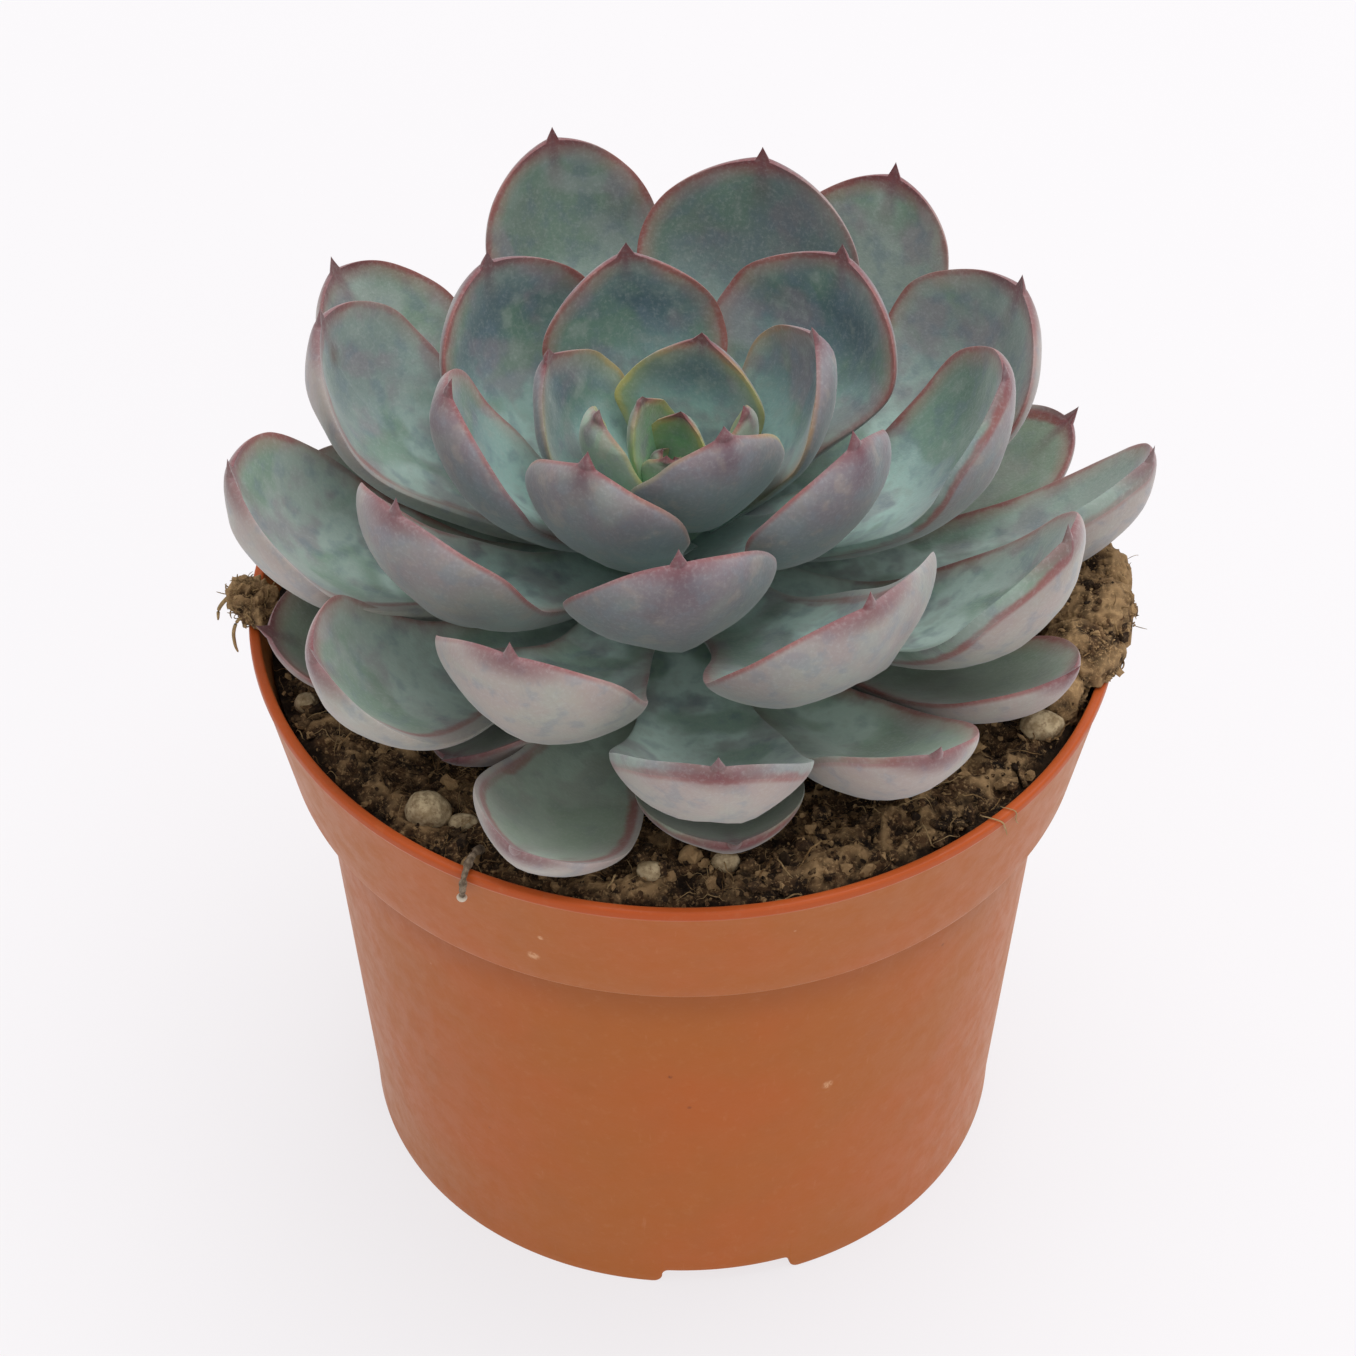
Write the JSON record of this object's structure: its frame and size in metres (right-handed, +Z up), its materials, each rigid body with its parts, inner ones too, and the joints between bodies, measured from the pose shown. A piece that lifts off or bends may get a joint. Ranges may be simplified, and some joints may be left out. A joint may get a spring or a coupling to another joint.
{
  "type": "potted succulent",
  "caption": "Rosette succulent with thick spoon-shaped leaves, growing in potting mix in a round tapered plastic nursery pot with a deep collar.",
  "frame": {"origin": "on the pot's axis, in the plane that the pot stands on", "axes": "+Z up along the pot's axis; -Y towards the front of the plant; +X to its right"},
  "size_m": [0.129, 0.1218, 0.1338],
  "materials": {
    "pot_plastic": "satin",
    "peat_mix": "matte",
    "heart_skin": "satin",
    "leaf_skin": "satin",
    "pumice": "matte",
    "peat_fibre": "matte",
    "dry_root": "matte"
  },
  "bodies": {
    "root": {"pot": "pot_plastic", "potting_mix": "peat_mix", "heart": "heart_skin", "leaf_07": "leaf_skin", "leaf_08": "leaf_skin", "leaf_09": "leaf_skin", "leaf_10": "leaf_skin", "leaf_11": "leaf_skin", "leaf_12": "leaf_skin", "leaf_13": "leaf_skin", "leaf_14": "leaf_skin", "leaf_15": "leaf_skin", "leaf_16": "leaf_skin", "leaf_17": "leaf_skin", "leaf_18": "leaf_skin", "leaf_19": "leaf_skin", "leaf_20": "leaf_skin", "leaf_21": "leaf_skin", "leaf_22": "leaf_skin", "leaf_23": "leaf_skin", "leaf_24": "leaf_skin", "leaf_25": "leaf_skin", "leaf_26": "leaf_skin", "leaf_27": "leaf_skin", "leaf_28": "leaf_skin", "leaf_29": "leaf_skin", "leaf_30": "leaf_skin", "leaf_31": "leaf_skin", "leaf_32": "leaf_skin", "leaf_33": "leaf_skin", "leaf_34": "leaf_skin", "leaf_35": "leaf_skin", "leaf_36": "leaf_skin", "leaf_37": "leaf_skin", "leaf_38": "leaf_skin", "leaf_39": "leaf_skin", "leaf_40": "leaf_skin", "leaf_41": "leaf_skin", "leaf_42": "leaf_skin", "leaf_43": "leaf_skin", "leaf_44": "leaf_skin", "leaf_45": "leaf_skin", "pumice_round": "pumice", "pumice_long": "pumice", "pumice_left": "pumice", "pumice_front": "pumice", "pumice_rim": "pumice", "pumice_right": "pumice", "root_tuft": "peat_fibre", "rootlet": "dry_root"}
  },
  "joints": []
}
